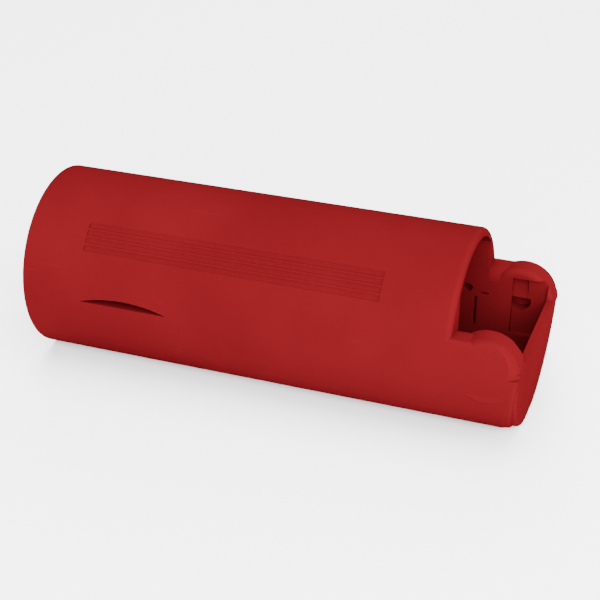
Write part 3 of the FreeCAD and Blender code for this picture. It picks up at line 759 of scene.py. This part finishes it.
@dataclass
class FileBlade:
    """The file: a hard plate whose lower face carries slanted teeth, with plain ends."""

    tooth_pitch: float = 0.62 * MM
    tooth_height: float = 0.28 * MM
    slant_deg: float = 25.0
    plain_end: float = 2.4 * MM
    side_margin: float = 0.22 * MM
    tooth_sides: int = 3
    sharp_deg: float = 20.0

    def build(self, finishes: Finishes) -> bpy.types.Object:
        """Builds the blade in the file's own box.

        Args:
            finishes: The built materials.

        Returns:
            The blade.
        """
        low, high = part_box("file_blade")
        size = high - low
        half = size.y / 2 - self.side_margin
        lean = half * math.tan(math.radians(self.slant_deg))
        run = size.x - 2 * (self.plain_end + lean)
        blade = self._recipe(finishes.file_steel).grow("file_blade_teeth", {
            "Plate Size": (size.x, size.y, size.z - self.tooth_height),
            "Plate Middle": ((low.x + high.x) / 2, 0.0, (low.z + self.tooth_height + high.z) / 2),
            "Tooth Count": int(run / self.tooth_pitch) + 1,
            "Tooth Start": (low.x + self.plain_end + lean, 0.0, low.z + self.tooth_height),
            "Tooth Pitch": self.tooth_pitch,
            "Tooth Height": self.tooth_height,
            "Tooth Lean": lean,
            "Tooth Half Width": half,
        }, self.sharp_deg)
        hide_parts("file_blade")
        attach(blade, "cradle")
        log.info("file blade: %d faces", len(blade.data.polygons))
        return blade

    def _recipe(self, material: bpy.types.Material) -> Recipe:
        """Writes the tree for a toothed plate.

        Args:
            material: What the piece is made of.

        Returns:
            The tree.
        """
        recipe = Recipe("toothed_plate")
        plate_size = recipe.place("Plate Size")
        plate_middle = recipe.place("Plate Middle")
        number = recipe.count("Tooth Count", 80)
        start = recipe.place("Tooth Start")
        pitch = recipe.length("Tooth Pitch", self.tooth_pitch)
        height = recipe.length("Tooth Height", self.tooth_height)
        lean = recipe.length("Tooth Lean", 2.0 * MM)
        half = recipe.length("Tooth Half Width", 4.8 * MM)
        plate = recipe.block(plate_size)
        back = recipe.point(recipe.maths("MULTIPLY", lean, -1.0),
                            recipe.maths("MULTIPLY", half, -1.0), 0.0)
        line = recipe.node("GeometryNodeCurvePrimitiveLine", {},
                           {"Start": back, "End": recipe.point(lean, half, 0.0)}).outputs["Curve"]
        tooth = recipe.swept(line, height, self.tooth_sides)
        teeth = recipe.copies(tooth, number, start, recipe.point(pitch, 0.0, 0.0))
        recipe.close(recipe.joined([recipe.moved(plate, plate_middle), teeth]), material)
        return recipe


@dataclass
class CoilSpring:
    """A round wire wound into a coil that fills one or more spring sleeves."""

    name: str
    nodes: Tuple[str, ...]
    wire: float
    turns: float
    along: Axis = Axis.Z
    steps_in_turn: int = 32
    wire_sides: int = 10
    sharp_deg: float = 60.0

    def build(self, finishes: Finishes) -> bpy.types.Object:
        """Winds the coils in the sleeves' boxes.

        Args:
            finishes: The built materials.

        Returns:
            All the coils as one object on the housing.
        """
        boxes = [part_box(node) for node in self.nodes]
        low, high = boxes[0]
        size = high - low
        index = "XYZ".index(self.along.value)
        foot = (low + high) / 2
        foot[index] = low[index] + self.wire / 2
        step = boxes[-1][0] - low
        coil = self._recipe(finishes.spring_steel).grow(self.name, {
            "Turns": self.turns,
            "Coil Radius": (size.y - self.wire) / 2,
            "Coil Height": size[index] - self.wire,
            "Wire Radius": self.wire / 2,
            "Coil Count": len(self.nodes),
            "First Foot": tuple(foot),
            "Step": tuple(step),
            "Turn": (0.0, math.radians(90.0) if self.along is Axis.X else 0.0, 0.0),
        }, self.sharp_deg)
        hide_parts(*self.nodes)
        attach(coil, "housing")
        log.info("%s: %d faces", self.name, len(coil.data.polygons))
        return coil

    def _recipe(self, material: bpy.types.Material) -> Recipe:
        """Writes the tree for a row of coils.

        Args:
            material: What the piece is made of.

        Returns:
            The tree.
        """
        recipe = Recipe(self.name + "_winding")
        turns = recipe.length("Turns", 4.0)
        radius = recipe.length("Coil Radius", 1.5 * MM)
        height = recipe.length("Coil Height", 2.0 * MM)
        wire = recipe.length("Wire Radius", 0.2 * MM)
        number = recipe.count("Coil Count", 1)
        start = recipe.place("First Foot")
        step = recipe.place("Step")
        turn = recipe.place("Turn")
        spiral = recipe.helix(turns, radius, height, self.steps_in_turn)
        coil = recipe.swept(spiral, wire, self.wire_sides)
        recipe.close(recipe.copies(coil, number, start, step, turn), material)
        return recipe


@dataclass
class CrossScrews:
    """A row of countersunk cross-recess screws that fill a screw node's box.

    The recess's reach and depth are shares of the head's radius and height, and the thread's
    depth and root are shares of the shank's radius.
    """

    node: str
    body: str
    along: Axis
    backwards: bool = False
    head_radius: float = 1.95 * MM
    head_height: float = 1.1 * MM
    shank_radius: float = 1.0 * MM
    recess_width: float = 0.5 * MM
    recess_reach: float = 1.15
    recess_depth: float = 0.375
    thread_pitch: float = 0.8 * MM
    thread_depth: float = 0.18
    root_share: float = 0.8
    head_sides: int = 48
    shank_sides: int = 24
    thread_sides: int = 4

    def build(self, finishes: Finishes) -> bpy.types.Object:
        """Builds the row.

        Args:
            finishes: The built materials.

        Returns:
            The screws as one object.
        """
        low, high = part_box(self.node)
        size = high - low
        index = "XYZ".index(self.along.value)
        first = low + Vector([self.head_radius] * 3)
        last = high - Vector([self.head_radius] * 3)
        first[index] = last[index] = high[index] if self.backwards else low[index]
        apart = (last - first).length > self.head_radius
        turns = {Axis.X: (0.0, math.radians(90.0), 0.0), Axis.Z: (0.0, 0.0, 0.0),
                 Axis.Y: (math.radians(90.0 if self.backwards else -90.0), 0.0, 0.0)}
        row = self._recipe(finishes.screw_steel).grow(self.node + "_made", {
            "Head Radius": self.head_radius,
            "Head Height": self.head_height,
            "Shank Radius": self.shank_radius,
            "Length": size[index],
            "Recess Width": self.recess_width,
            "Thread Pitch": self.thread_pitch,
            "Screw Count": 2 if apart else 1,
            "First Head": tuple(first),
            "Step": tuple(last - first),
            "Turn": turns[self.along],
        })
        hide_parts(self.node)
        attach(row, self.body)
        log.info("%s: %d faces", row.name, len(row.data.polygons))
        return row

    def _recipe(self, material: bpy.types.Material) -> Recipe:
        """Writes the tree for a row of screws whose heads face down.

        Args:
            material: What the piece is made of.

        Returns:
            The tree.
        """
        recipe = Recipe(self.node + "_turning")
        head_r = recipe.length("Head Radius", self.head_radius)
        head_h = recipe.length("Head Height", self.head_height)
        shank_r = recipe.length("Shank Radius", self.shank_radius)
        length = recipe.length("Length", 7.0 * MM)
        recess = recipe.length("Recess Width", self.recess_width)
        pitch = recipe.length("Thread Pitch", self.thread_pitch)
        number = recipe.count("Screw Count", 2)
        start = recipe.place("First Head")
        step = recipe.place("Step")
        turn = recipe.place("Turn")
        root_r = recipe.maths("MULTIPLY", shank_r, self.root_share)
        head = recipe.node("GeometryNodeMeshCone", {}, {
            "Vertices": self.head_sides, "Radius Top": root_r, "Radius Bottom": head_r,
            "Depth": head_h,
        }).outputs["Mesh"]
        reach = recipe.maths("MULTIPLY", head_r, self.recess_reach)
        deep = recipe.maths("MULTIPLY", head_h, 2 * self.recess_depth)
        arms = [recipe.block(recipe.point(reach, recess, deep)),
                recipe.block(recipe.point(recess, reach, deep))]
        cut = recipe.node("GeometryNodeMeshBoolean", {"operation": "DIFFERENCE"},
                          {"Mesh 1": head, "Mesh 2": arms}).outputs["Mesh"]
        rest = recipe.maths("SUBTRACT", length, head_h)
        shank = recipe.node("GeometryNodeMeshCylinder", {}, {
            "Vertices": self.shank_sides, "Radius": root_r, "Depth": rest,
        }).outputs["Mesh"]
        shank_mid = recipe.maths("ADD", head_h, recipe.maths("MULTIPLY", rest, 0.5))
        wound = recipe.maths("SUBTRACT", rest, pitch)
        flank = recipe.maths("MULTIPLY", shank_r, self.thread_depth)
        crest_r = recipe.maths("SUBTRACT", shank_r, flank)
        spiral = recipe.helix(recipe.maths("DIVIDE", wound, pitch), crest_r, wound,
                              self.shank_sides)
        lead = recipe.maths("ADD", head_h, recipe.maths("MULTIPLY", pitch, 0.5))
        thread = recipe.moved(recipe.swept(spiral, flank, self.thread_sides),
                              recipe.point(0.0, 0.0, lead))
        screw = recipe.joined([cut, recipe.moved(shank, recipe.point(0.0, 0.0, shank_mid)), thread])
        recipe.close(recipe.copies(screw, number, start, step, turn), material)
        return recipe


@dataclass
class DialMarks:
    """The printed figures on the dial's face and the index mark on the bulkhead over it.

    The bulkhead is as thick as the front bush is long without its flange.
    """

    figures: Tuple[str, ...] = ("0", "1", "2", "3")
    figure_height: float = 1.5 * MM
    ring_radius: float = 4.95 * MM
    first_deg: float = 90.0
    step_deg: float = 60.0
    ink: float = 0.015 * MM
    font_share: float = 1.35
    index_height: float = 1.3 * MM
    index_gap: float = 0.5 * MM
    bulkhead: float = 2.2 * MM
    arrowhead: Tuple[Tuple[float, float], ...] = ((0.0, 0.0), (-0.45, 1.0), (0.0, 0.8), (0.45, 1.0))

    def build(self, finishes: Finishes) -> None:
        """Prints the figures and the index mark.

        Args:
            finishes: The built materials.
        """
        low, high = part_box("angle_dial")
        middle = Vector((high.x, (low.y + high.y) / 2, (low.z + high.z) / 2))
        for number, figure in enumerate(self.figures):
            angle = self.first_deg - number * self.step_deg
            self._figure(figure, middle, angle, finishes.ink)
        self._index(middle, finishes.ink)
        log.info("dial figures and index mark printed")

    def _figure(self, figure: str, middle: Vector, angle_deg: float,
                ink: bpy.types.Material) -> None:
        """Prints one figure, upright when its mark is at the top.

        Args:
            figure: The figure's text.
            middle: The middle of the dial's face.
            angle_deg: Where the figure stands on its ring, from +Y.
            ink: The ink's material.
        """
        curve = bpy.data.curves.new("figure", "FONT")
        curve.body = figure
        curve.size = self.figure_height * self.font_share
        curve.align_x = "CENTER"
        curve.align_y = "CENTER"
        curve.extrude = self.ink
        flat = bpy.data.objects.new("figure", curve)
        bpy.context.scene.collection.objects.link(flat)
        depsgraph = bpy.context.evaluated_depsgraph_get()
        mesh = bpy.data.meshes.new_from_object(flat.evaluated_get(depsgraph))
        bpy.data.objects.remove(flat)
        angle = math.radians(angle_deg)
        place = middle + Vector((self.ink, self.ring_radius * math.cos(angle),
                                 self.ring_radius * math.sin(angle)))
        face = Matrix(((0, 0, 1), (1, 0, 0), (0, 1, 0))).to_4x4()
        spin = Matrix.Rotation(angle - math.radians(90.0), 4, "X")
        mesh.transform(Matrix.Translation(place) @ spin @ face)
        mesh.materials.clear()
        mesh.materials.append(ink)
        printed = bpy.data.objects.new("dial_figure_" + figure, mesh)
        bpy.context.scene.collection.objects.link(printed)
        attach(printed, "dial")

    def _index(self, middle: Vector, ink: bpy.types.Material) -> None:
        """Prints the arrowhead on the bulkhead over the dial.

        Args:
            middle: The middle of the dial's face.
            ink: The ink's material.
        """
        wall_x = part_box("front_spindle_bush")[0].x + self.bulkhead
        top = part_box("angle_dial")[1].z + self.index_gap
        made = bmesh.new()
        rims = []
        for lift in (-self.ink, self.ink):
            rims.append([made.verts.new((wall_x + lift, middle.y + y * self.index_height,
                                         top + z * self.index_height))
                         for y, z in self.arrowhead])
        made.faces.new(rims[1])
        made.faces.new(list(reversed(rims[0])))
        for k in range(len(self.arrowhead)):
            n = (k + 1) % len(self.arrowhead)
            made.faces.new((rims[0][k], rims[0][n], rims[1][n], rims[1][k]))
        bmesh.ops.recalc_face_normals(made, faces=made.faces)
        mesh = bpy.data.meshes.new("dial_index_mark")
        made.to_mesh(mesh)
        made.free()
        mesh.materials.append(ink)
        mark = bpy.data.objects.new("dial_index_mark", mesh)
        bpy.context.scene.collection.objects.link(mark)
        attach(mark, "housing")


# ---------------------------------------------------------------- studio


@dataclass(frozen=True)
class SoftBox:
    """A square area light: where it stands, the side of its square and its power in watts."""

    name: str
    place: Point
    size: float
    power: float

    def build(self, target: Vector) -> None:
        """Adds the light, aimed at a point.

        Args:
            target: The point.
        """
        data = bpy.data.lights.new(self.name, "AREA")
        data.shape = "SQUARE"
        data.size = self.size
        data.energy = self.power
        light = bpy.data.objects.new(self.name, data)
        place = Vector(self.place)
        turn = (target - place).to_track_quat("-Z", "Y").to_matrix().to_4x4()
        light.matrix_world = Matrix.Translation(place) @ turn
        bpy.context.scene.collection.objects.link(light)


@dataclass(frozen=True)
class Studio:
    """A pale floor, soft lights and the camera."""

    soft_boxes: Tuple[SoftBox, ...] = (
        SoftBox("front", (0.24, -0.65, 0.39), 0.6, 26.0),
        SoftBox("top", (0.0, 0.0, 0.95), 0.9, 24.0),
        SoftBox("side", (0.85, -0.15, 0.40), 0.7, 19.0),
        SoftBox("back", (-0.3, 0.8, 0.5), 0.8, 16.0),
    )
    azimuth_deg: float = 20.33
    elevation_deg: float = 28.42
    distance: float = 301.6 * MM
    lens_mm: float = 84.0
    aim_ahead: float = 2.07 * MM
    aim_below_middle: float = 2.65 * MM
    sensor_mm: float = 36.0
    nearest: float = 10 * MM
    floor_half: float = 3.0
    floor_dark: Colour = (0.92, 0.92, 0.92)
    floor_pale: Colour = (0.94, 0.94, 0.94)
    floor_clouds_per_metre: float = 6.0
    floor_roughness: float = 0.9
    sky_colour: Colour = (1.0, 1.0, 1.0)
    sky_strength: float = 0.9

    def aim(self) -> Vector:
        """The point that the camera looks at, near the middle of the tube.

        Returns:
            The point.
        """
        low, high = (Vector(corner) for corner in CAD_BOUNDS)
        middle = (low + high) / 2
        return middle + Vector((self.aim_ahead, 0.0, -self.aim_below_middle))

    def build(self) -> None:
        """Builds the camera, the floor, the lights and the pale surroundings."""
        self._camera()
        self._floor()
        self._lights()
        log.info("studio ready")

    def _camera(self) -> None:
        """Adds the camera."""
        azimuth = math.radians(self.azimuth_deg)
        elevation = math.radians(self.elevation_deg)
        right = Vector((math.cos(azimuth), math.sin(azimuth), 0.0))
        forward = Vector((-math.sin(azimuth) * math.cos(elevation),
                          math.cos(azimuth) * math.cos(elevation), -math.sin(elevation)))
        up = right.cross(forward)
        data = bpy.data.cameras.new("camera")
        data.lens = self.lens_mm
        data.sensor_width = self.sensor_mm
        data.clip_start = self.nearest
        camera = bpy.data.objects.new("camera", data)
        turn = Matrix((right, up, -forward)).transposed().to_4x4()
        camera.matrix_world = Matrix.Translation(self.aim() - forward * self.distance) @ turn
        bpy.context.scene.collection.objects.link(camera)
        bpy.context.scene.camera = camera

    def _floor(self) -> None:
        """Adds the pale floor that the tool rests on."""
        half = self.floor_half
        mesh = bpy.data.meshes.new("floor")
        mesh.from_pydata([(-half, -half, 0), (half, -half, 0), (half, half, 0), (-half, half, 0)],
                         [], [(0, 1, 2, 3)])
        floor = bpy.data.objects.new("floor", mesh)
        sheet = ShaderSheet("floor_paper")
        cloud = sheet.noise(self.floor_clouds_per_metre, 2.0)
        shade = sheet.blend(cloud, self.floor_dark, self.floor_pale)
        mesh.materials.append(sheet.finish(Base_Color=shade, Roughness=self.floor_roughness))
        bpy.context.scene.collection.objects.link(floor)

    def _lights(self) -> None:
        """Adds the soft boxes and even white surroundings."""
        for soft_box in self.soft_boxes:
            soft_box.build(self.aim())
        world = bpy.data.worlds.new("surroundings")
        world.use_nodes = True
        background = world.node_tree.nodes["Background"]
        background.inputs["Color"].default_value = (*self.sky_colour, 1.0)
        background.inputs["Strength"].default_value = self.sky_strength
        bpy.context.scene.world = world


def main() -> None:
    """Builds the studio and every piece."""
    Studio().build()
    finishes = Finishes()
    dress_cad_nodes(finishes)
    FileBlade().build(finishes)
    coils = CoilSpring("cradle_springs_wound", ("front_cradle_spring", "rear_cradle_spring"),
                       wire=0.45 * MM, turns=3.6).build(finishes)
    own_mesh(coils)
    CoilSpring("detent_spring_wound", ("detent_spring",), wire=0.35 * MM, turns=6.5,
               along=Axis.X).build(finishes)
    for screws in (
        CrossScrews("sole_screws", "housing", Axis.Z),
        CrossScrews("pivot_block_screws", "housing", Axis.Z),
        CrossScrews("rear_cap_screws", "housing", Axis.X),
        CrossScrews("fence_button_screw", "fence", Axis.Y, backwards=True),
    ):
        screws.build(finishes)
    DialMarks().build(finishes)


if __name__ == "__main__":
    main()
